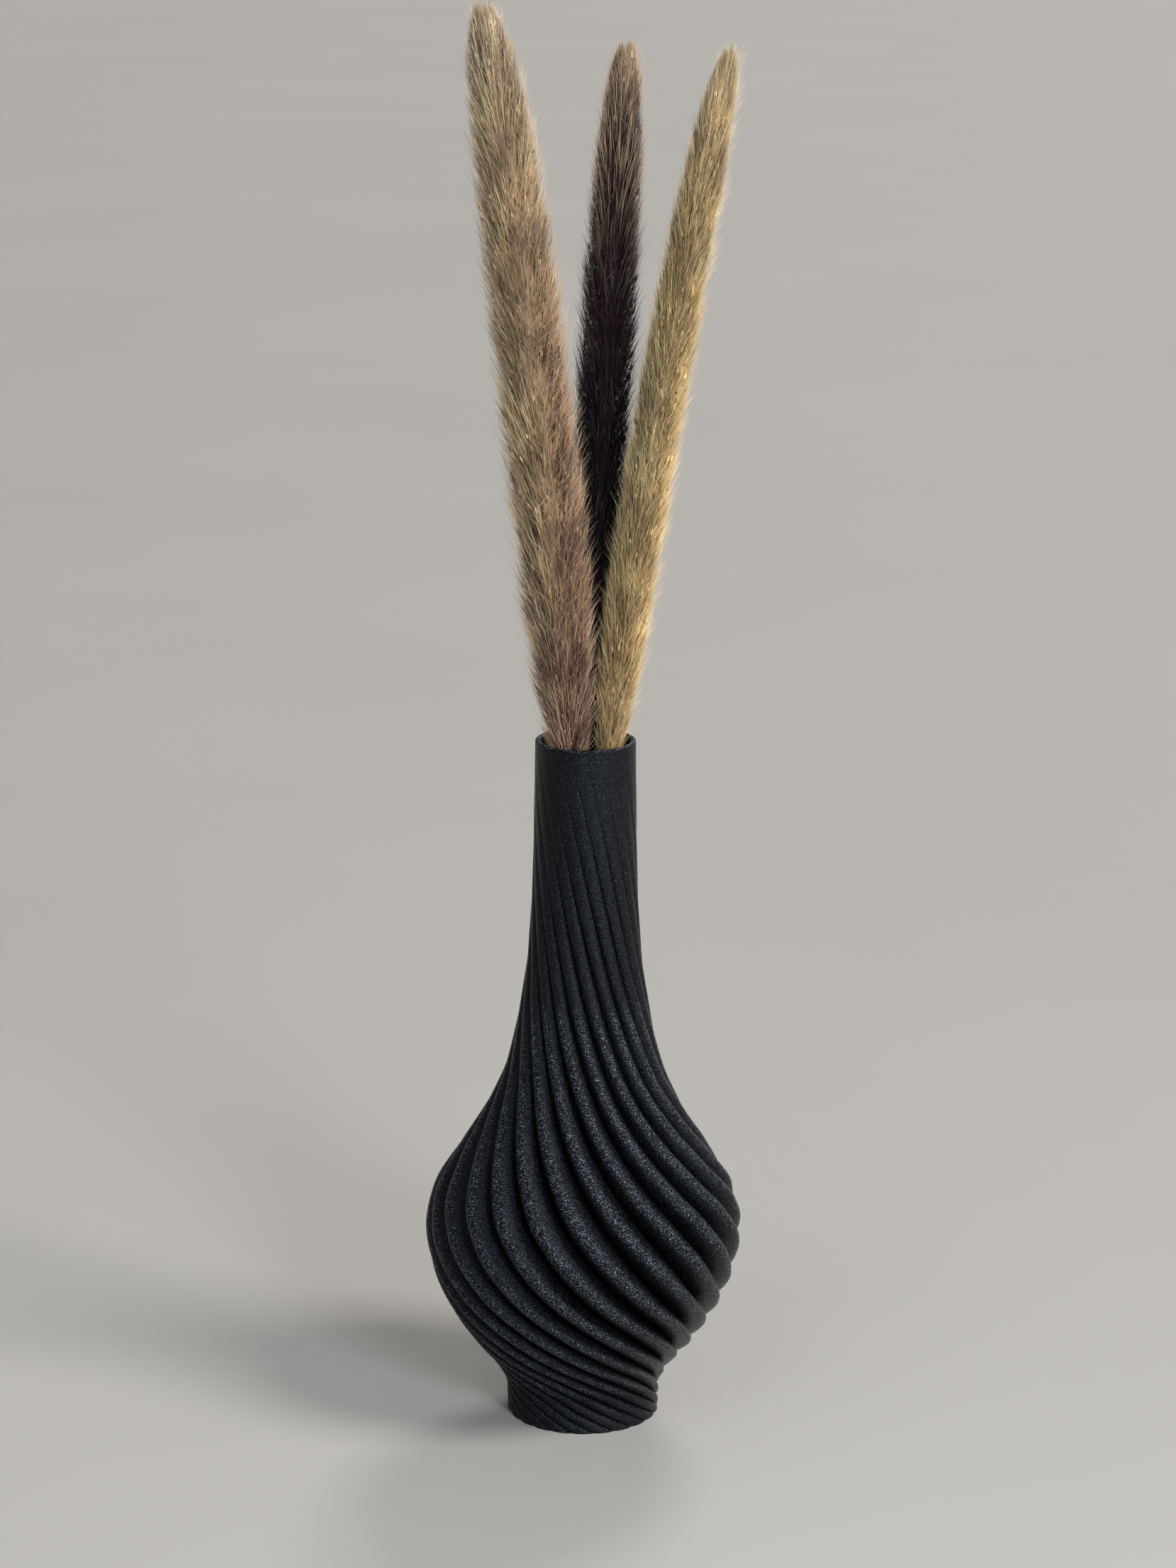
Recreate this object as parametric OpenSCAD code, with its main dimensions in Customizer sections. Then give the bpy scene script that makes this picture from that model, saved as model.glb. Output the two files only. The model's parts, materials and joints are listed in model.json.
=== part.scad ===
// Fluted bud vase with three dried grass stems.
//
// Frame: +Z up, origin at the centre of the foot's flat underside, the vase's
// axis along Z, and -Y the side that faces the viewer.  Millimetres.
//
// The vase is one thin-walled vessel.  Its outside is a ring of rounded
// flutes that wind round the body as they fall, and its inside is smooth.
// Each stem is a straight stalk that stands on the vase's floor and carries a
// feathery plume, and each stem lifts out along its own stalk.

/* [Vase] */
// Height of the vase
vase_h = 220; // [180:1:260]
// Radius over the flutes at the belly
belly_r = 50.6; // [44:0.2:54]
// Radius over the flutes at the foot
foot_r = 24; // [21:0.2:27]
// Outer radius at the mouth
mouth_r = 15.5; // [14.6:0.1:17]
// Thickness of the wall behind a valley
wall_t = 1.8; // [1.4:0.1:2.2]
// Thickness of the floor
floor_t = 4; // [3:0.5:6]

/* [Flutes] */
// Number of flutes
flutes = 22; // [18:1:24]
// Depth of a valley at the belly
flute_depth = 12; // [5:0.25:12]
// Points across one flute
flute_points = 5; // [4:1:6]
// Steps up the height
levels = 40; // [30:1:44]

/* [Stems] */
// Diameter of a stalk
stalk_d = 2.8; // [2:0.1:3.2]
// Gap between a stalk's foot and the vase's floor
foot_gap = 0.5; // [0.3:0.1:2]
// Height of the left plume's tip
left_tip = 445; // [400:1:470]
// Height of the middle plume's tip
middle_tip = 432; // [400:1:470]
// Height of the right plume's tip
right_tip = 432; // [400:1:470]
// Fullness of the plumes
fullness = 1; // [0.8:0.01:1]

/* [Hidden] */

// Colours
glaze = [0.07, 0.07, 0.09];
straw = [0.72, 0.58, 0.36];
left_tone = [0.66, 0.50, 0.34];
middle_tone = [0.22, 0.15, 0.15];
right_tone = [0.80, 0.70, 0.45];

// Outline over the flutes: height as a share of vase_h, radius as a share of
// the way from mouth_r to belly_r.  The foot's two points use foot_r.
foot_share = (foot_r - mouth_r) / (belly_r - mouth_r);
OUTLINE = [
    [0.000, foot_share], [0.040, foot_share + 0.01], [0.075, 0.36],
    [0.120, 0.59], [0.180, 0.83], [0.230, 0.95], [0.280, 1.00],
    [0.330, 0.94], [0.390, 0.72], [0.450, 0.48], [0.520, 0.27],
    [0.600, 0.15], [0.700, 0.06], [0.820, 0.02], [1.000, 0.00]
];

// How far the flutes have turned, in degrees, on the way up
TURN = [
    [0.00, 139], [0.04, 102], [0.08, 70], [0.12, 45], [0.17, 22],
    [0.23, 1], [0.30, -16], [0.40, -37], [0.54, -65], [0.70, -94],
    [0.85, -121], [1.00, -149]
];

// Depth of the valleys as a share of flute_depth, on the way up
DEPTH = [
    [0.00, 0.06], [0.05, 0.20], [0.11, 0.46], [0.17, 0.78], [0.23, 0.97],
    [0.30, 1.00], [0.38, 0.90], [0.45, 0.65], [0.54, 0.35], [0.66, 0.20],
    [0.80, 0.08], [0.93, 0.02], [1.00, 0.00]
];

// Smooth curve through a list of [u, v] points
function slope(p, i) =
    i == 0 ? (p[1].y - p[0].y) / (p[1].x - p[0].x) :
    i == len(p) - 1 ? (p[i].y - p[i - 1].y) / (p[i].x - p[i - 1].x) :
    let(a = (p[i].y - p[i - 1].y) / (p[i].x - p[i - 1].x),
        b = (p[i + 1].y - p[i].y) / (p[i + 1].x - p[i].x))
    a * b <= 0 ? 0 : 2 * a * b / (a + b);
function span(p, u, i = 0) =
    i >= len(p) - 2 || u <= p[i + 1].x ? i : span(p, u, i + 1);
function curve(p, u) =
    let(i = span(p, u), w = p[i + 1].x - p[i].x, t = (u - p[i].x) / w)
    (2 * t * t * t - 3 * t * t + 1) * p[i].y
    + (t * t * t - 2 * t * t + t) * w * slope(p, i)
    + (3 * t * t - 2 * t * t * t) * p[i + 1].y
    + (t * t * t - t * t) * w * slope(p, i + 1);

// The vase's surfaces.  u is the height as a share of vase_h.
function crest(u) = mouth_r + (belly_r - mouth_r) * curve(OUTLINE, u);
function valley(u) = flute_depth * curve(DEPTH, u);
function flute(u, s) = crest(u) - valley(u) * (1 - sqrt(1 - s * s));
function inside(u) = crest(u) - valley(u) - wall_t;

// One level of the outside, from a valley round to the same valley.  Within a
// flute the points are spread evenly round a half circle.
around = flutes * flute_points;
function level(u) = [
    for (k = [0 : around - 1])
        let(s = cos(180 * (k % flute_points) / flute_points),
            a = curve(TURN, u) + 360 / flutes * (floor(k / flute_points) + (1 - s) / 2),
            r = flute(u, s))
        [r * sin(a), -r * cos(a), u * vase_h]
];

// A closed skin over rings of n points, each ring a list, from the lowest up
module skin(rings, n) {
    top = len(rings) - 1;
    polyhedron(
        points = [for (ring = rings) for (p = ring) p],
        faces = concat(
            [[for (k = [0 : n - 1]) k]],
            [for (i = [0 : top - 1]) for (k = [0 : n - 1])
                [i * n + k, (i + 1) * n + k, (i + 1) * n + (k + 1) % n]],
            [for (i = [0 : top - 1]) for (k = [0 : n - 1])
                [i * n + k, (i + 1) * n + (k + 1) % n, i * n + (k + 1) % n]],
            [[for (k = [n - 1 : -1 : 0]) top * n + k]]
        ),
        convexity = 8
    );
}

// The hollow, from the floor up through the mouth
hollow_steps = 36;
module hollow() {
    floor_u = floor_t / vase_h;
    side = [
        for (i = [0 : hollow_steps])
            let(u = floor_u + (1 - floor_u) * i / hollow_steps)
            [inside(u), u * vase_h]
    ];
    rotate_extrude($fn = 96)
        polygon(concat(
            [[0, floor_t]], side,
            [[inside(1), vase_h + 1], [0, vase_h + 1]]
        ));
}

// The vessel.  Levels lie closer together towards the foot, where the flutes
// turn fastest.
module vase_body() {
    color(glaze)
    difference() {
        skin([for (i = [0 : levels]) level(pow(i / levels, 1.4))], around);
        hollow();
    }
}

// Stems: where the stalk crosses the mouth, its lean per millimetre of
// height, how far the plume's tip bends away from the stalk's line, the
// height of the tip, and the plume's widest radius.
LEFT = [[-5.4, -3.4], [-0.075, 0], [-9, 0], left_tip, 11.8];
MIDDLE = [[0.4, 8.8], [0.04, 0.026], [2.6, 0], middle_tip, 9];
RIGHT = [[7.6, -0.6], [0.118, -0.015], [9.4, 0], right_tip, 7.8];

// A plume starts just below the rim and is a little flat from front to back
plume_foot = vase_h - 14;
plume_flat = 0.75;
plume_sides = 12;
plume_rings = 16;
stalk_in_plume = 8;

// Plume outline: share of its length, share of its widest radius
PLUME = [
    [0.00, 0.20], [0.06, 0.57], [0.15, 0.84], [0.30, 0.98], [0.50, 1.00],
    [0.66, 0.97], [0.80, 0.87], [0.92, 0.66], [0.98, 0.42], [1.00, 0.20]
];

// A point on the straight line of a stalk at height z
function on_line(stem, z) =
    let(t = z - vase_h)
    [stem[0].x + stem[1].x * t, stem[0].y + stem[1].y * t, z];

// A point on the middle of a plume at height z
function on_spine(stem, z) =
    let(w = pow(max(0, z - vase_h) / (stem[3] - vase_h), 2))
    on_line(stem, z) + [stem[2].x * w, stem[2].y * w, 0];

module stalk(stem) {
    low = on_line(stem, floor_t + foot_gap);
    high = on_line(stem, plume_foot + stalk_in_plume);
    run = high - low;
    color(straw)
    translate(low)
        rotate([0, acos(run.z / norm(run)), atan2(run.y, run.x)])
            cylinder(d = stalk_d, h = norm(run), $fn = 32);
}

function plume_ring(stem, u) =
    let(c = on_spine(stem, plume_foot + u * (stem[3] - plume_foot)),
        r = stem[4] * fullness * curve(PLUME, u))
    [
        for (k = [0 : plume_sides - 1])
            let(a = 360 * k / plume_sides)
            c + [r * sin(a), -r * plume_flat * cos(a), 0]
    ];

module plume(stem, tone) {
    color(tone)
        skin([for (i = [0 : plume_rings]) plume_ring(stem, i / plume_rings)], plume_sides);
}

module stalk_left() { stalk(LEFT); }
module stalk_middle() { stalk(MIDDLE); }
module stalk_right() { stalk(RIGHT); }
module plume_left() { plume(LEFT, left_tone); }
module plume_middle() { plume(MIDDLE, middle_tone); }
module plume_right() { plume(RIGHT, right_tone); }

vase_body();
stalk_left();
plume_left();
stalk_middle();
plume_middle();
stalk_right();
plume_right();
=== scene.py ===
"""Looks of a fluted bud vase that holds three dried grass stems.

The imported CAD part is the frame.  The vase's height and belly, the plumes' spines and widths and the stalks'
lines are read from it.  The vase's tables, flutes, wall and floor, its foot and mouth as shares of its
height, and the stalks' thickness repeat the CAD source's own numbers.  Lengths are in metres, +Z is up and
-Y faces the viewer.
"""

import json
import math
import random

import bpy
import numpy as np
from mathutils import Matrix, Vector


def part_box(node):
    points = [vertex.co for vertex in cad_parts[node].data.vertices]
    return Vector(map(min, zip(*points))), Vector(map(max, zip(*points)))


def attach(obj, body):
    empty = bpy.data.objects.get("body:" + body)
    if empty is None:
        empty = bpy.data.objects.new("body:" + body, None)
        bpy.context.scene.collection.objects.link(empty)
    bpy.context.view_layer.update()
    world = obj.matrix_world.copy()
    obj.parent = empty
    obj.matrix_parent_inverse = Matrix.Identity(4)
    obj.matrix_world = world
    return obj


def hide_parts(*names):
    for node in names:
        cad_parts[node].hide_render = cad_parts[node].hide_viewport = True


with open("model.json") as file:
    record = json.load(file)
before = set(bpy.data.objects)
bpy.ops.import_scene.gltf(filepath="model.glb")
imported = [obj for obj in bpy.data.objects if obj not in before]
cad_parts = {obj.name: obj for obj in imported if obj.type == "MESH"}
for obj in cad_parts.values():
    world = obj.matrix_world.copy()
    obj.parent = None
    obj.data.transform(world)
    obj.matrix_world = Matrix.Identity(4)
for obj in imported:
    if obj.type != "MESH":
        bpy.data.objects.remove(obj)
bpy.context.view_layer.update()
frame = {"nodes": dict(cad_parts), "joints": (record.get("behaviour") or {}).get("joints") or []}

MM = 0.001

# The camera: where it stands, how far it looks down, its focal length in image heights
CAMERA_DISTANCE = 1.250
CAMERA_HEIGHT = 0.535
CAMERA_SIDE = 0.0008
CAMERA_PITCH = 14.76
CAMERA_ROLL = 0.25
FOCAL_IN_HEIGHTS = 2.6745
SENSOR_HEIGHT = 36.0


def set_camera():
    data = bpy.data.cameras.new("camera")
    data.sensor_fit = "VERTICAL"
    data.sensor_height = SENSOR_HEIGHT
    data.lens = FOCAL_IN_HEIGHTS * SENSOR_HEIGHT
    data.dof.use_dof = False
    camera = bpy.data.objects.new("camera", data)
    bpy.context.scene.collection.objects.link(camera)
    place = Matrix.Translation((CAMERA_SIDE, -CAMERA_DISTANCE, CAMERA_HEIGHT))
    tilt = Matrix.Rotation(math.radians(90 - CAMERA_PITCH), 4, "X")
    roll = Matrix.Rotation(math.radians(CAMERA_ROLL), 4, "Z")
    camera.matrix_world = place @ tilt @ roll
    bpy.context.scene.camera = camera


# ---------------------------------------------------------------- meshes


def add_object(name, verts, faces, smooth=True):
    """A mesh object from lists or arrays of points and faces"""
    mesh = bpy.data.meshes.new(name)
    mesh.from_pydata([tuple(map(float, v)) for v in verts], [], [tuple(map(int, f)) for f in faces])
    mesh.validate()
    if smooth:
        mesh.shade_smooth()
    piece = bpy.data.objects.new(name, mesh)
    bpy.context.scene.collection.objects.link(piece)
    return piece


def ring_faces(rows, sides):
    """Quads between rows of points that each go round once"""
    index = np.arange(rows * sides).reshape(rows, sides)
    low, high = index[:-1], index[1:]
    return np.stack([low, np.roll(low, -1, 1), np.roll(high, -1, 1), high], -1).reshape(-1, 4)


def curve(points, at):
    """Smooth curve through [u, v] points, the same one that the CAD model uses"""
    p = np.array(points, float)
    rise = np.diff(p[:, 1]) / np.diff(p[:, 0])
    turn = rise[:-1] * rise[1:]
    mean = np.where(turn > 0, 2 * turn / np.where(turn > 0, rise[:-1] + rise[1:], 1), 0)
    slope = np.concatenate([rise[:1], mean, rise[-1:]])
    at = np.asarray(at, float)
    i = np.clip(np.searchsorted(p[:, 0], at, side="left") - 1, 0, len(p) - 2)
    width = p[i + 1, 0] - p[i, 0]
    t = (at - p[i, 0]) / width
    return (
        (2 * t**3 - 3 * t**2 + 1) * p[i, 1]
        + (t**3 - 2 * t**2 + t) * width * slope[i]
        + (3 * t**2 - 2 * t**3) * p[i + 1, 1]
        + (t**3 - t**2) * width * slope[i + 1]
    )


# ---------------------------------------------------------------- materials


class Nodes:
    """A short way to build one material's node tree"""

    def __init__(self, name):
        self.material = bpy.data.materials.new(name)
        self.material.use_nodes = True
        self.tree = self.material.node_tree
        self.shader = self.tree.nodes["Principled BSDF"]

    def add(self, kind, **values):
        node = self.tree.nodes.new(kind)
        for key, value in values.items():
            setattr(node, key, value)
        return node

    def link(self, source, target):
        self.tree.links.new(source, target)

    def place(self, scale=(1, 1, 1)):
        """Object coordinates, stretched"""
        where = self.add("ShaderNodeTexCoord")
        mapping = self.add("ShaderNodeMapping")
        mapping.inputs["Scale"].default_value = scale
        self.link(where.outputs["Object"], mapping.inputs["Vector"])
        return mapping.outputs["Vector"]

    def noise(self, vector, scale, detail=3.0, roughness=0.5):
        node = self.add("ShaderNodeTexNoise")
        node.inputs["Scale"].default_value = scale
        node.inputs["Detail"].default_value = detail
        node.inputs["Roughness"].default_value = roughness
        self.link(vector, node.inputs["Vector"])
        return node.outputs["Fac"]

    def ramp(self, factor, stops):
        node = self.add("ShaderNodeValToRGB")
        ramp = node.color_ramp
        while len(ramp.elements) < len(stops):
            ramp.elements.new(0.5)
        for element, (position, colour) in zip(ramp.elements, stops):
            element.position = position
            element.color = (*colour, 1)
        self.link(factor, node.inputs["Fac"])
        return node.outputs["Color"]

    def span(self, factor, low, high, start=0.0, end=1.0):
        node = self.add("ShaderNodeMapRange")
        node.inputs["From Min"].default_value = start
        node.inputs["From Max"].default_value = end
        node.inputs["To Min"].default_value = low
        node.inputs["To Max"].default_value = high
        self.link(factor, node.inputs["Value"])
        return node.outputs["Result"]

    def mix(self, factor, first, second, blend="MIX"):
        node = self.add("ShaderNodeMix", data_type="RGBA", blend_type=blend)
        if isinstance(factor, float):
            node.inputs["Factor"].default_value = factor
        else:
            self.link(factor, node.inputs["Factor"])
        for name, value in (("A", first), ("B", second)):
            socket = [s for s in node.inputs if s.name == name and s.type == "RGBA"][0]
            if isinstance(value, tuple):
                socket.default_value = (*value, 1)
            else:
                self.link(value, socket)
        return [s for s in node.outputs if s.type == "RGBA"][0]

    def attribute(self, name):
        node = self.add("ShaderNodeAttribute", attribute_name=name)
        return node.outputs["Fac"]

    def bump(self, height, strength, distance, normal=None):
        node = self.add("ShaderNodeBump")
        node.inputs["Strength"].default_value = strength
        node.inputs["Distance"].default_value = distance
        self.link(height, node.inputs["Height"])
        if normal is not None:
            self.link(normal, node.inputs["Normal"])
        return node.outputs["Normal"]


def vase_material():
    """Near-black satin body with fine level lines, and painted glints: cool specks in the colour along the
    crests and the rim, standing in for highlights
    """
    n = Nodes("satin_black")
    cloud = n.noise(n.place(), 45, 4)
    grain = n.noise(n.place((1, 1, 1.5)), 1400, 2, 0.7)
    painted_glint_speck = n.noise(n.place((1, 1, 1.3)), 2100, 1, 0.5)
    line = n.add("ShaderNodeTexWave", wave_type="BANDS", bands_direction="Z", wave_profile="SIN")
    line.inputs["Scale"].default_value = 420
    line.inputs["Distortion"].default_value = 1.5
    line.inputs["Detail"].default_value = 2
    n.link(n.place(), line.inputs["Vector"])
    base = n.ramp(cloud, [(0.3, (0.0010, 0.0011, 0.0017)), (0.75, (0.0034, 0.0037, 0.0052))])
    # Painted glints: pale blue-grey specks added to the base colour, full on the crests and the rim, faint
    # elsewhere
    painted_glint = n.ramp(painted_glint_speck, [(0.56, (0, 0, 0)), (0.66, (0.13, 0.147, 0.175))])
    painted_glint_place = n.ramp(n.attribute("crest"), [(0.86, (0.15, 0.15, 0.15)), (0.99, (1, 1, 1))])
    painted_glint = n.mix(1.0, painted_glint, painted_glint_place, "MULTIPLY")
    n.link(n.mix(1.0, base, painted_glint, "ADD"), n.shader.inputs["Base Color"])
    n.link(n.span(grain, 0.16, 0.42, 0.35, 0.65), n.shader.inputs["Roughness"])
    rough = n.bump(grain, 1.0, 0.00045)
    n.link(n.bump(line.outputs["Fac"], 0.4, 0.00015, rough), n.shader.inputs["Normal"])
    n.shader.inputs["Specular IOR Level"].default_value = 0.16
    n.shader.inputs["Specular Tint"].default_value = (0.82, 0.90, 1.0, 1)
    return n.material


def straw_material(name, pale, dark):
    """Dry stalk with lengthwise fibres"""
    n = Nodes(name)
    fibre = n.noise(n.place((1, 1, 0.03)), 2600, 3, 0.6)
    patch = n.noise(n.place((1, 1, 0.3)), 120, 4)
    tint = n.ramp(patch, [(0.3, dark), (0.7, pale)])
    n.link(n.mix(n.span(fibre, 0.0, 0.5, 0.35, 0.75), tint, dark), n.shader.inputs["Base Color"])
    n.shader.inputs["Roughness"].default_value = 0.62
    n.link(n.bump(fibre, 0.5, 0.0001), n.shader.inputs["Normal"])
    return n.material


def rgb(red, green, blue):
    """An eight-bit colour as the shader wants it"""

    def linear(c):
        return (c / 255 / 12.92) if c < 11 else ((c / 255 + 0.055) / 1.055) ** 2.4

    return tuple(linear(c) for c in (red, green, blue))


def plume_material(name, left, right, low, upper, high, root_shade, tip_low, tip_high, spark):
    """Bristles with painted shade at their roots, deep in the plume, and paler at their ends, that let some
    light through.  The colour changes across the plume, from its left side to its right, and up it, from low
    at the mouth to high."""
    n = Nodes(name)
    along, rise = n.attribute("along"), n.attribute("rise")
    patch = n.noise(n.place((1, 1, 0.4)), 150, 3, 0.6)
    body = n.mix(n.span(n.attribute("side"), 0.0, 1.0, 0.2, 0.8), left, right)
    body = n.mix(n.span(rise, 1.0, 0.0, 0.05, 0.42), body, low)
    body = n.mix(n.span(rise, 0.0, 0.85, 0.52, 0.80), body, upper)
    body = n.mix(n.span(rise, 0.0, 1.0, 0.84, 0.96), body, high)
    # Painted shade: each bristle darkens towards its root, deep in the plume
    body = n.mix(n.span(along, 0.9, 0.0, 0.0, 0.5), body, root_shade)
    ends = n.mix(n.span(rise, 0.0, 1.0, 0.78, 0.96), tip_low, tip_high)
    body = n.mix(n.span(along, 0.0, 0.8, 0.45, 1.0), body, ends)
    light = n.ramp(n.attribute("tone"), [(0.0, (0.52, 0.49, 0.49)), (0.9, (1.22, 1.22, 1.22))])
    body = n.mix(1.0, body, light, "MULTIPLY")
    body = n.mix(n.span(n.attribute("tone"), 0.0, 0.7, 0.92, 1.0), body, spark)
    cloud = n.ramp(patch, [(0.36, (0.66, 0.60, 0.60)), (0.64, (1.18, 1.18, 1.16))])
    body = n.mix(1.0, body, cloud, "MULTIPLY")
    n.link(body, n.shader.inputs["Base Color"])
    n.shader.inputs["Roughness"].default_value = 0.5
    n.shader.inputs["Specular IOR Level"].default_value = 0.3
    through = n.add("ShaderNodeBsdfTranslucent")
    n.link(body, through.inputs["Color"])
    both = n.add("ShaderNodeMixShader")
    both.inputs["Fac"].default_value = 0.2
    n.link(n.shader.outputs["BSDF"], both.inputs[1])
    n.link(through.outputs["BSDF"], both.inputs[2])
    n.link(both.outputs["Shader"], n.tree.nodes["Material Output"].inputs["Surface"])
    return n.material


# ---------------------------------------------------------------- the vase

VASE_LOW, VASE_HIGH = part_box("vase_body")
VASE_H = VASE_HIGH.z - VASE_LOW.z
BELLY_R = (VASE_HIGH.x - VASE_LOW.x) / 2
FOOT_SHARE_OF_HEIGHT = 24 / 220
MOUTH_SHARE_OF_HEIGHT = 15.5 / 220
FOOT_R = VASE_H * FOOT_SHARE_OF_HEIGHT
MOUTH_R = VASE_H * MOUTH_SHARE_OF_HEIGHT
FLUTES = 22
FLUTE_DEPTH = 12 * MM
WALL = 1.8 * MM
FLOOR = 4 * MM
POINTS_PER_FLUTE = 16
# Levels up the outside, and how much closer together they lie towards the foot
LEVELS = 200
LEVEL_SPREAD = 1.3
# Levels down the inside, from a share of the height, and the rounded corner at the floor
INSIDE_LEVELS = 40
INSIDE_TOP = 0.995
FLOOR_CORNER = [0.985, 0.94, 0.86]
# The rim's small round edge
RIM_STEPS = 7
RIM_START = 0.25
RIM_FLATNESS = 0.6
# Depth of a valley from which its crest gets the painted glints in full
CLEAR_DEPTH = 3 * MM

FOOT_SHARE = (FOOT_R - MOUTH_R) / (BELLY_R - MOUTH_R)
OUTLINE = [
    [0.000, FOOT_SHARE], [0.040, FOOT_SHARE + 0.01], [0.075, 0.36],
    [0.120, 0.59], [0.180, 0.83], [0.230, 0.95], [0.280, 1.00],
    [0.330, 0.94], [0.390, 0.72], [0.450, 0.48], [0.520, 0.27],
    [0.600, 0.15], [0.700, 0.06], [0.820, 0.02], [1.000, 0.00],
]
TURN = [
    [0.00, 139], [0.04, 102], [0.08, 70], [0.12, 45], [0.17, 22],
    [0.23, 1], [0.30, -16], [0.40, -37], [0.54, -65], [0.70, -94],
    [0.85, -121], [1.00, -149],
]
DEPTH = [
    [0.00, 0.06], [0.05, 0.20], [0.11, 0.46], [0.17, 0.78], [0.23, 0.97],
    [0.30, 1.00], [0.38, 0.90], [0.45, 0.65], [0.54, 0.35], [0.66, 0.20],
    [0.80, 0.08], [0.93, 0.02], [1.00, 0.00],
]


def crest(u):
    return MOUTH_R + (BELLY_R - MOUTH_R) * curve(OUTLINE, u)


def valley(u):
    return FLUTE_DEPTH * curve(DEPTH, u)


def turned(radius, angle, height):
    """Points at a radius, an angle from the front towards +X, and a height"""
    a = np.radians(angle)
    height = np.broadcast_to(height, np.broadcast(radius, a).shape)
    return np.stack([radius * np.sin(a), -radius * np.cos(a), height], -1).reshape(-1, 3)


def make_vase():
    # Outside: levels closer together towards the foot, points spread evenly round each flute
    levels = np.linspace(0, 1, LEVELS + 1) ** LEVEL_SPREAD
    k = np.arange(FLUTES * POINTS_PER_FLUTE)
    t = math.pi * (k % POINTS_PER_FLUTE) / POINTS_PER_FLUTE
    angle = 360 / FLUTES * ((k // POINTS_PER_FLUTE) + (1 - np.cos(t)) / 2)
    radius = crest(levels)[:, None] - valley(levels)[:, None] * (1 - np.sin(t))[None, :]
    outside = turned(radius, curve(TURN, levels)[:, None] + angle[None, :], levels[:, None] * VASE_H)
    sides = len(k)

    # Rim: a small round edge from the outside over to the inside
    rim_out = MOUTH_R
    rim_in = MOUTH_R - WALL
    half = (rim_out - rim_in) / 2
    rim_angle = curve(TURN, 1.0) + angle
    rim = [
        turned(
            (rim_out + rim_in) / 2 + half * math.cos(a) * np.ones(sides),
            rim_angle,
            VASE_H - half * RIM_FLATNESS * (1 - math.sin(a)),
        )
        for a in np.linspace(RIM_START, math.pi - RIM_START, RIM_STEPS)
    ]

    # Inside: smooth, down to a floor with a rounded corner
    down = np.linspace(INSIDE_TOP, FLOOR / VASE_H, INSIDE_LEVELS)
    inner = crest(down) - valley(down) - WALL
    inner[-len(FLOOR_CORNER) :] *= np.array(FLOOR_CORNER)
    inside = turned(inner[:, None], rim_angle[None, :], down[:, None] * VASE_H)

    outside = outside.reshape(LEVELS + 1, sides, 3)
    outside[-1] = turned(np.full(sides, rim_out), rim_angle, VASE_H - half * RIM_FLATNESS)
    verts = np.concatenate([outside.reshape(-1, 3), *rim, inside, [[0, 0, FLOOR]], [[0, 0, 0]]])
    rows = LEVELS + 1 + len(rim) + len(down)
    faces = [tuple(f) for f in ring_faces(rows, sides)]
    last = (rows - 1) * sides
    floor_mid = rows * sides
    for i in range(sides):
        j = (i + 1) % sides
        faces.append((last + i, last + j, floor_mid))
        faces.append((j, i, floor_mid + 1))
    vase = add_object("vase_shell", verts, faces)

    # Where the painted glints go: along the crests, fading where the valleys are shallow, and all round the
    # rim
    clear = np.clip(valley(levels) / CLEAR_DEPTH, 0, 1)
    painted_glint_mask = np.zeros(len(verts))
    painted_glint_mask[: (LEVELS + 1) * sides] = (clear[:, None] * np.sin(t)[None, :]).ravel()
    painted_glint_mask[(LEVELS + 1) * sides : (LEVELS + 1 + len(rim)) * sides] = 1
    layer = vase.data.attributes.new("crest", "FLOAT", "POINT")
    layer.data.foreach_set("value", painted_glint_mask.astype(np.float32))
    vase.data.materials.append(vase_material())
    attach(vase, "vase")
    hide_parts("vase_body")


# ---------------------------------------------------------------- the stems

# How close in height a CAD ring's points lie
RING_TOLERANCE = 2e-5
# How unevenly the tips end at the top of a plume
RAGGED_TOP = 0.006
# Bristles in a spikelet, hairs beyond the outline, and their length as a share of the plume's
FAN = 17
HALO = 2600
REACH = 0.048
# Turn from one spikelet to the next
GOLDEN_ANGLE = math.pi * (3 - math.sqrt(5))

STALK_R = 1.4 * MM
STALK_SIDES, STALK_STEPS = 20, 110
# A stalk's joints: share of its length, and how far that may vary
JOINTS = [(0.18, 0.02), (0.47, 0.03), (0.78, 0.02)]
JOINT_WIDTH = 0.006
# The cut end: how far it slants, and how deep and wide its hollow is
CUT_SLANT = 0.42 * MM
CUT_DEPTH = 1.6 * MM
CUT_SHARE = 0.55


def spine_of(node):
    """Heights, centres, half widths and half depths of a plume, from its CAD rings"""
    mesh = frame["nodes"][node].data
    points = np.array([v.co[:] for v in mesh.vertices])
    heights = np.unique(np.round(points[:, 2], 5))
    rows = []
    for z in heights:
        ring = points[np.abs(points[:, 2] - z) < RING_TOLERANCE]
        low, high = ring.min(0)[:2], ring.max(0)[:2]
        rows.append([z, *((low + high) / 2), *((high - low) / 2)])
    return np.array(rows)


def unit(vectors):
    return vectors / np.linalg.norm(vectors, axis=-1, keepdims=True)


def frames(axis):
    """Two directions across each axis"""
    across = unit(np.cross(axis, np.array([0.31, 0.77, 0.55])))
    return across, np.cross(axis, across)


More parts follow.
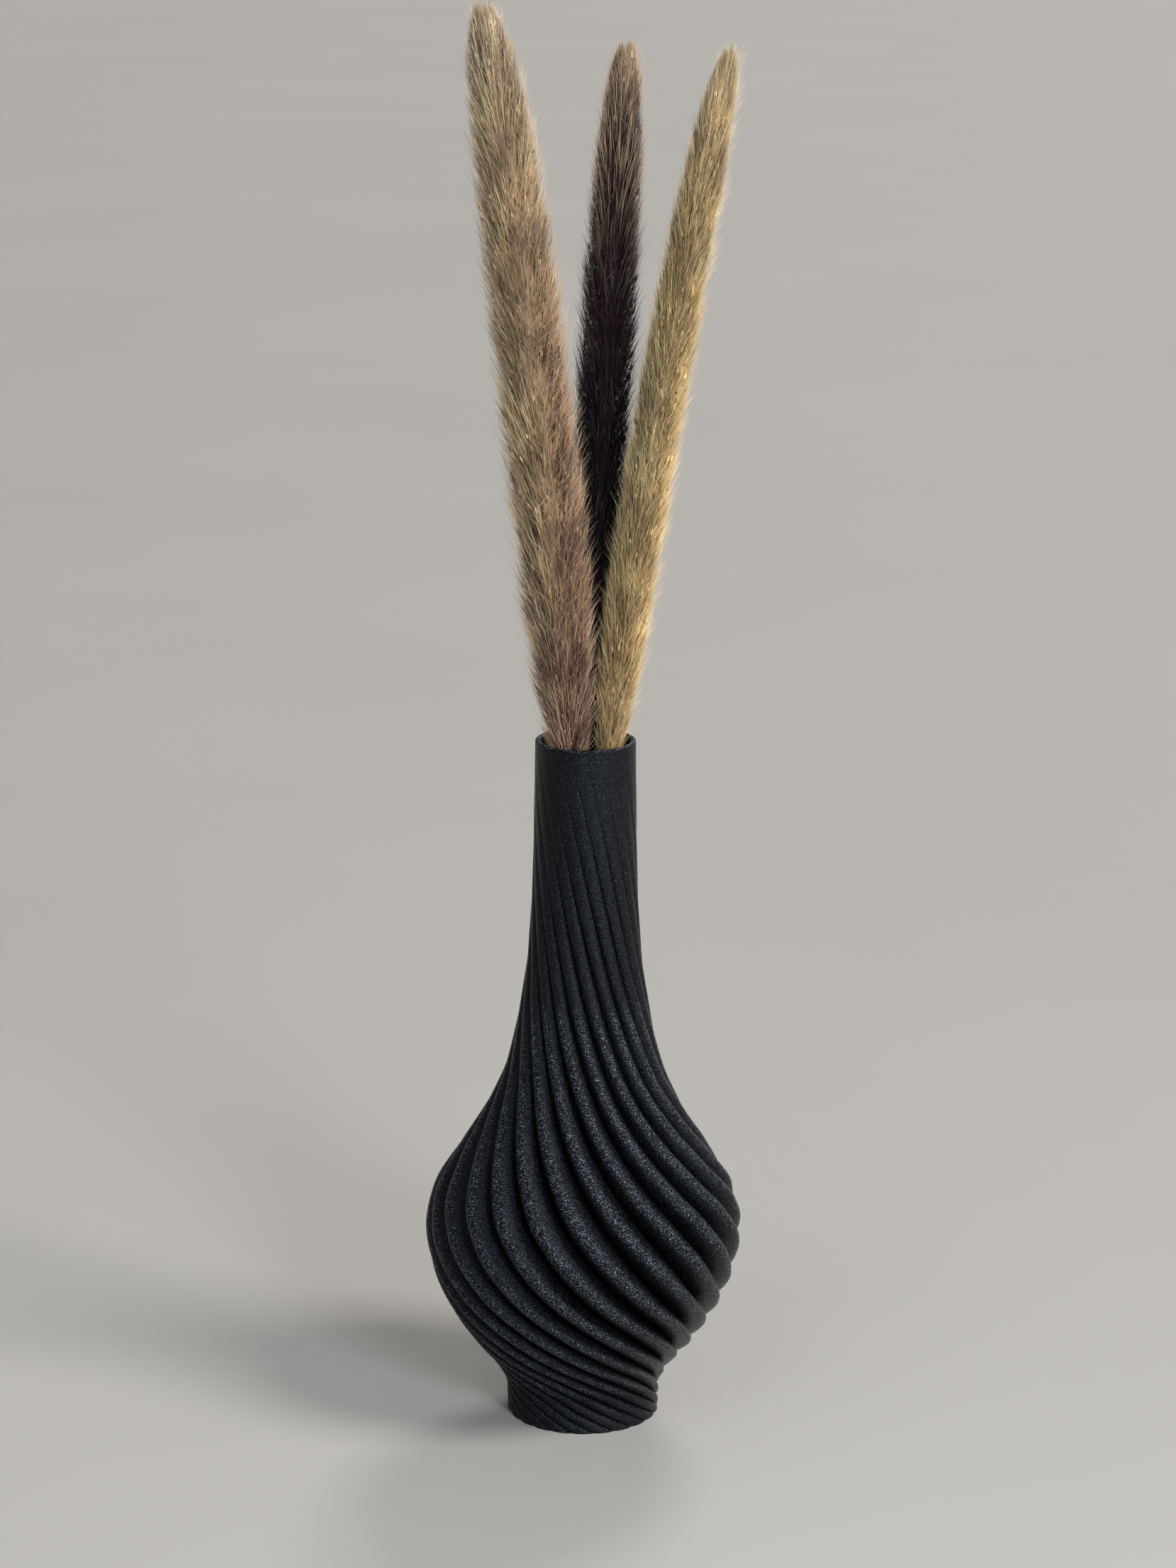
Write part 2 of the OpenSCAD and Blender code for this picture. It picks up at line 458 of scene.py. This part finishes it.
class Strands:
    """Collects thin strands and seeds, with the values that colour them, into one mesh"""

    def __init__(self):
        self.verts, self.faces, self.values = [], [], []
        self.count = 0

    def spindles(self, paths, radii, sides, values):
        """Strands through paths [n, rows, 3], with a radius at each row but the last, where they end in
        a point"""
        n, rows = paths.shape[:2]
        across, other = frames(unit(paths[:, -1] - paths[:, 0]))
        turn = 2 * math.pi * np.arange(sides) / sides
        spoke = across[:, None] * np.cos(turn)[None, :, None] + other[:, None] * np.sin(turn)[None, :, None]
        rings = paths[:, :-1, None] + spoke[:, None] * radii[:, :, None, None]
        verts = np.concatenate([rings.reshape(n, -1, 3), paths[:, -1:]], 1)
        each = verts.shape[1]
        pattern = [tuple(reversed(range(sides)))]
        for row in range(rows - 2):
            for k in range(sides):
                low, high = row * sides, (row + 1) * sides
                pattern.append((low + k, low + (k + 1) % sides, high + (k + 1) % sides, high + k))
        last = (rows - 2) * sides
        pattern += [(last + k, last + (k + 1) % sides, each - 1) for k in range(sides)]
        start = self.count + each * np.arange(n)
        for face in pattern:
            self.faces += (start[:, None] + np.array(face)[None, :]).tolist()
        along = np.concatenate([np.repeat(np.arange(rows - 1) / (rows - 1), sides), [1.0]])
        for_each = {"along": np.tile(along, (n, 1))}
        for label, value in values.items():
            for_each[label] = np.repeat(np.broadcast_to(value, n)[:, None], each, 1)
        for_each["along"] = for_each["along"] * (1 - for_each["start"]) + for_each["start"]
        self.verts.append(verts.reshape(-1, 3))
        self.values.append({label: value.ravel() for label, value in for_each.items()})
        self.count += n * each

    def finish(self, name, material):
        piece = add_object(name, np.concatenate(self.verts), self.faces)
        for label in ("along", "tone", "side", "rise"):
            values = np.concatenate([v[label] for v in self.values]).astype(np.float32)
            layer = piece.data.attributes.new(label, "FLOAT", "POINT")
            layer.data.foreach_set("value", values)
        piece.data.materials.append(material)
        return piece


class Plume:
    """The room that one plume takes: its spine and half widths by share of its length"""

    def __init__(self, node):
        self.rows = spine_of(node)
        self.low, self.high = self.rows[0, 0], self.rows[-1, 0]

    def value(self, u, column):
        return np.interp(self.low + u * (self.high - self.low), self.rows[:, 0], self.rows[:, column])

    def point(self, u, turn, share):
        """A point at a share of the way out from the spine"""
        top = 1 - RAGGED_TOP * (1 - np.cos(17 * turn + 90 * share))
        u = np.clip(u, 0, top)
        x = self.value(u, 1) + np.cos(turn) * share * self.value(u, 3)
        y = self.value(u, 2) + np.sin(turn) * share * self.value(u, 4)
        return np.stack([x, y, self.low + u * (self.high - self.low)], -1)


def make_plume(name, node, body, seed, spikelets, material):
    """A dense head: seeds and fans of fine bristles on a spiral up the spine, and longer pale hairs"""
    rng = np.random.default_rng(seed)
    plume = Plume(node)
    made = Strands()

    # The packed middle: a spindle along the spine
    steps = np.linspace(0.0, 0.97, 24)
    core = plume.point(steps, 0 * steps, 0 * steps)[None]
    made.spindles(
        core,
        (0.5 * plume.value(steps[:-1], 4))[None],
        12,
        {"start": 0.0, "tone": 0.2, "side": 0.5, "rise": 0.5},
    )

    # Spikelets in a spiral, each leaning up and out
    n = spikelets
    u = np.clip((np.arange(n) + rng.uniform(-0.5, 0.5, n)) / n, 0, 1) * 0.965
    turn = np.arange(n) * GOLDEN_ANGLE + rng.uniform(-0.3, 0.3, n)
    tone = rng.uniform(0.0, 0.88, n)

    # Bristles
    many = n * FAN
    at = np.repeat(u, FAN)
    way = np.repeat(turn, FAN) + rng.normal(0, 0.18, many)
    own = REACH * rng.uniform(0.75, 1.25, many) * (1 - 0.5 * np.clip((at - 0.9) / 0.1, 0, 1))
    begin = at + own * rng.uniform(-0.2, 0.45, many)
    out_from = rng.uniform(0.2, 0.52, many)
    swell = 0.05 * np.sin(29 * at + 2 * way + seed) + 0.04 * np.sin(57 * at - way)
    out_to = np.repeat(rng.normal(0.93, 0.08, n), FAN) + swell + rng.normal(0, 0.06, many)
    out_to = np.clip(out_to, 0.7, 1.12)
    end = begin + own
    roots = plume.point(begin, way, out_from)
    tips = plume.point(end, way + rng.normal(0, 0.30, many), out_to)
    tips += rng.normal(0, 0.45, (many, 3)) * MM
    bow = rng.uniform(0.58, 0.78, many)
    middles = plume.point(begin + own * 0.5, way, out_from + (out_to - out_from) * bow)
    middles += rng.normal(0, 0.35, (many, 3)) * MM
    radius = rng.uniform(0.055, 0.10, many) * MM
    made.spindles(
        np.stack([roots, middles, tips], 1),
        np.stack([radius, radius * 0.75], 1),
        3,
        {
            "start": 0.0,
            "tone": np.where(
                rng.uniform(0, 1, many) < 0.035,
                1.0,
                np.clip(np.repeat(tone, FAN) + rng.normal(0, 0.13, many), 0, 0.9),
            ),
            "side": 0.5 + 0.5 * np.cos(way),
            "rise": at,
        },
    )

    # Seeds: one small husk among each spikelet's bristles
    at = np.clip(u + REACH * rng.uniform(0.1, 0.8, n), 0, 0.97)
    way = turn + rng.normal(0, 0.22, n)
    out = rng.uniform(0.45, 0.86, n)
    length = rng.uniform(1.8, 3.2, n) * MM
    share = length / (plume.high - plume.low)
    path = [plume.point(at + share * k, way, out + 0.1 * k) for k in (0, 0.3, 0.65, 1.0)]
    fat = rng.uniform(0.28, 0.5, n) * MM
    made.spindles(
        np.stack(path, 1),
        np.stack([fat * 0.35, fat, fat * 0.75], 1),
        5,
        {
            "start": 0.0,
            "tone": rng.uniform(0.0, 0.55, n),
            "side": 0.5 + 0.5 * np.cos(way),
            "rise": at,
        },
    )

    # Longer hairs that stand out from the outline
    at = rng.uniform(0.02, 0.955, HALO)
    way = rng.uniform(0, 2 * math.pi, HALO)
    own = REACH * rng.uniform(0.8, 1.3, HALO)
    roots = plume.point(at, way, 0.7)
    middles = plume.point(at + own * 0.5, way, rng.uniform(0.9, 1.0, HALO))
    tips = plume.point(at + own, way, 1.0) + rng.normal(0, 0.5, (HALO, 3)) * MM
    stray = rng.uniform(0.3, 3.6, HALO) * MM
    tips += np.stack([np.cos(way) * stray, np.sin(way) * stray, 0 * way], -1)
    thin = rng.uniform(0.05, 0.085, HALO) * MM
    made.spindles(
        np.stack([roots, middles, tips], 1),
        np.stack([thin, thin * 0.8], 1),
        3,
        {
            "start": 0.55,
            "tone": rng.uniform(0.5, 0.9, HALO),
            "side": 0.5 + 0.5 * np.cos(way),
            "rise": np.clip(at + 0.16, 0, 1),
        },
    )

    piece = made.finish(name, material)
    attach(piece, body)
    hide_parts(node)


def make_stalk(name, node, body, seed, material):
    """A dry grass stalk: fine ribs, three swollen joints, a slanting cut end"""
    rng = random.Random(seed)
    low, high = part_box(node)
    axis = [Vector(j["axis"]).normalized() for j in frame["joints"] if j["child"] == body][0]
    height = (high.z - low.z) - 2 * STALK_R * math.hypot(axis.x, axis.y)
    run = axis * (height / axis.z)
    start = (low + high) / 2 - run / 2
    across = axis.orthogonal().normalized()
    other = axis.cross(across)
    joints = [share + rng.uniform(-play, play) for share, play in JOINTS]

    def swell(u):
        """A ridge at each joint, with a groove just under it"""
        ridge = sum(math.exp(-(((u - j) / JOINT_WIDTH) ** 2)) for j in joints)
        groove = sum(math.exp(-(((u - j) / JOINT_WIDTH + 2) ** 2)) for j in joints)
        return 0.16 * ridge - 0.05 * groove

    def around(middle, k, r):
        a = 2 * math.pi * k / STALK_SIDES
        return middle + across * (r * math.cos(a)) + other * (r * math.sin(a))

    def slant(k):
        return CUT_SLANT * math.cos(2 * math.pi * k / STALK_SIDES)

    verts = []
    for i in range(STALK_STEPS + 1):
        u = i / STALK_STEPS
        full = STALK_R * (1.0 - 0.14 * u) * (0.97 + swell(u))
        for k in range(STALK_SIDES):
            rib = 1 + (0.03 if k % 2 else -0.02)
            cut = slant(k) if i == 0 else 0.0
            verts.append(around(start + run * u + axis * cut, k, full * rib))
    faces = [tuple(f) for f in ring_faces(STALK_STEPS + 1, STALK_SIDES)]

    # The cut end: a rim and a hollow
    inner = len(verts)
    for depth in (0.0, CUT_DEPTH):
        for k in range(STALK_SIDES):
            verts.append(around(start + axis * (slant(k) + depth), k, STALK_R * CUT_SHARE))
    for k in range(STALK_SIDES):
        j = (k + 1) % STALK_SIDES
        faces.append((j, k, inner + k, inner + j))
        faces.append((inner + j, inner + k, inner + STALK_SIDES + k, inner + STALK_SIDES + j))
    faces.append(tuple(inner + STALK_SIDES + k for k in reversed(range(STALK_SIDES))))
    top = STALK_STEPS * STALK_SIDES
    faces.append(tuple(top + k for k in range(STALK_SIDES)))
    stalk = add_object(name, verts, faces)
    stalk.data.materials.append(material)
    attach(stalk, body)
    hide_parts(node)


# ---------------------------------------------------------------- the set


FLOOR_REACH = 14.0


def make_set():
    """A pale floor, a strong sun and two weaker ones, a small lamp at the front right, a dim even sky"""
    f = FLOOR_REACH
    floor = add_object(
        "floor",
        [(-f, -f, 0), (f, -f, 0), (f, f, 0), (-f, f, 0)],
        [(0, 1, 2, 3)],
        smooth=False,
    )
    n = Nodes("pale_floor")
    n.link(
        n.ramp(n.noise(n.place(), 3, 3), [(0.3, (0.395, 0.38, 0.355)), (0.7, (0.41, 0.395, 0.37))]),
        n.shader.inputs["Base Color"],
    )
    n.shader.inputs["Roughness"].default_value = 0.7
    floor.data.materials.append(n.material)

    def lamp(name, kind, place, aim, power, colour, size):
        data = bpy.data.lights.new(name, kind)
        data.energy = power
        data.color = colour
        if kind == "SUN":
            data.angle = math.radians(size)
        else:
            data.shape = "DISK"
            data.size = size
        piece = bpy.data.objects.new(name, data)
        bpy.context.scene.collection.objects.link(piece)
        piece.location = place
        piece.rotation_euler = (Vector(aim) - Vector(place)).to_track_quat("-Z", "Y").to_euler()

    lamp("key", "SUN", (1.9, -0.9, 1.9), (0, 0, 0), 2.5, (1.0, 0.97, 0.93), 22)
    lamp("window", "AREA", (0.55, -1.15, 0.62), (0, 0, 0.16), 12, (0.84, 0.92, 1.0), 0.4)
    lamp("front", "SUN", (-0.9, -1.6, 1.5), (0, 0, 0), 0.5, (0.93, 0.96, 1.0), 40)
    lamp("back", "SUN", (0.5, 1.5, 1.3), (0, 0, 0), 1.1, (1.0, 0.97, 0.93), 18)
    world = bpy.data.worlds.new("studio")
    world.use_nodes = True
    sky = world.node_tree.nodes["Background"]
    sky.inputs["Color"].default_value = (0.90, 0.93, 1.0, 1)
    sky.inputs["Strength"].default_value = 0.20
    bpy.context.scene.world = world
    bpy.context.scene.view_settings.view_transform = "Standard"


set_camera()
make_set()
make_vase()

STRAW = straw_material("dry_stalk", (0.52, 0.37, 0.17), (0.24, 0.14, 0.06))
make_stalk("stem_stalk_left", "stalk_left", "stem_left", 11, STRAW)
make_stalk("stem_stalk_middle", "stalk_middle", "stem_middle", 12, STRAW)
make_stalk("stem_stalk_right", "stalk_right", "stem_right", 13, STRAW)

TAN = plume_material(
    "plume_tan",
    left=rgb(230, 208, 160),
    right=rgb(200, 156, 124),
    low=rgb(134, 68, 64),
    upper=rgb(224, 194, 148),
    high=rgb(244, 228, 192),
    root_shade=rgb(124, 96, 78),
    tip_low=rgb(240, 222, 188),
    tip_high=rgb(250, 238, 210),
    spark=rgb(240, 224, 190),
)
DARK = plume_material(
    "plume_dark",
    left=rgb(38, 30, 38),
    right=rgb(30, 25, 30),
    low=rgb(20, 18, 20),
    upper=rgb(98, 68, 72),
    high=rgb(206, 178, 142),
    root_shade=rgb(12, 10, 12),
    tip_low=rgb(58, 46, 54),
    tip_high=rgb(242, 222, 190),
    spark=rgb(168, 152, 146),
)
GOLD = plume_material(
    "plume_gold",
    left=rgb(184, 172, 126),
    right=rgb(252, 224, 160),
    low=rgb(230, 198, 140),
    upper=rgb(216, 186, 130),
    high=rgb(242, 216, 166),
    root_shade=rgb(140, 110, 66),
    tip_low=rgb(250, 230, 180),
    tip_high=rgb(252, 240, 206),
    spark=rgb(250, 240, 216),
)
make_plume("plume_head_left", "plume_left", "stem_left", 21, 820, TAN)
make_plume("plume_head_middle", "plume_middle", "stem_middle", 22, 760, DARK)
make_plume("plume_head_right", "plume_right", "stem_right", 23, 760, GOLD)
